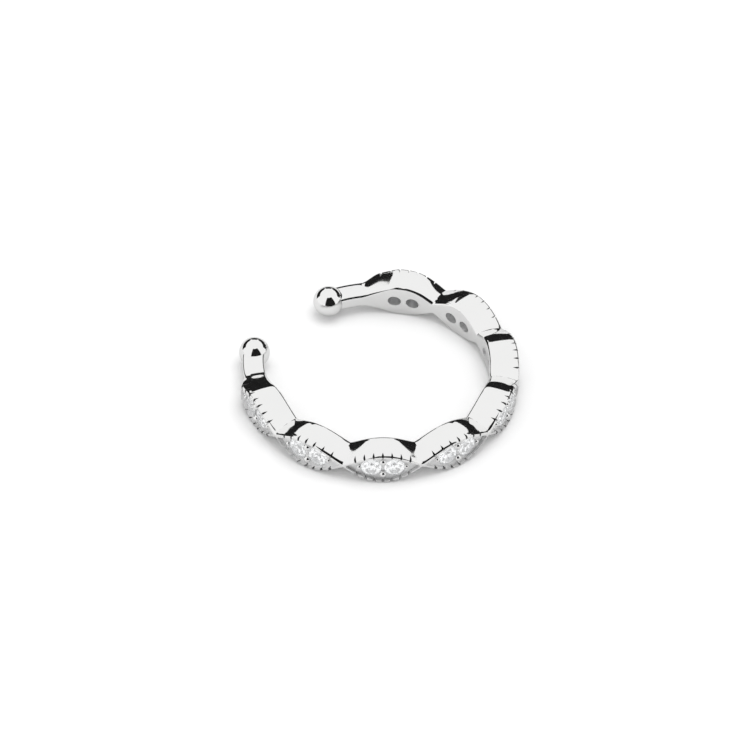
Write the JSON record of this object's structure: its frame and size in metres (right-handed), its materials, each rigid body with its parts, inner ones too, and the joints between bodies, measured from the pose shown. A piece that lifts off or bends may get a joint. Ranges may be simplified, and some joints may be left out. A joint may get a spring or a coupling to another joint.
{
  "type": "ear cuff",
  "caption": "Open ear cuff of leaf-shaped links in polished silver metal, each set with a pair of round clear stones inside a notched rim, with plain arms and ball ends.",
  "frame": {"origin": "on the ring's axis, level with the faces that it rests on", "axes": "+Z along the ring's axis, upwards as it lies; -X towards the open mouth; +Y along the longer outside width"},
  "size_m": [0.0126, 0.0128, 0.0017],
  "materials": {
    "silver": "high polish",
    "clear_stone": "faceted, polished"
  },
  "bodies": {
    "root": {"cuff_frame": "silver", "stone_1a": "clear_stone", "stone_1b": "clear_stone", "stone_2a": "clear_stone", "stone_2b": "clear_stone", "stone_3a": "clear_stone", "stone_3b": "clear_stone", "stone_4a": "clear_stone", "stone_4b": "clear_stone", "stone_5a": "clear_stone", "stone_5b": "clear_stone", "stone_6a": "clear_stone", "stone_6b": "clear_stone", "stone_7a": "clear_stone", "stone_7b": "clear_stone", "stone_8a": "clear_stone", "stone_8b": "clear_stone"}
  },
  "joints": []
}
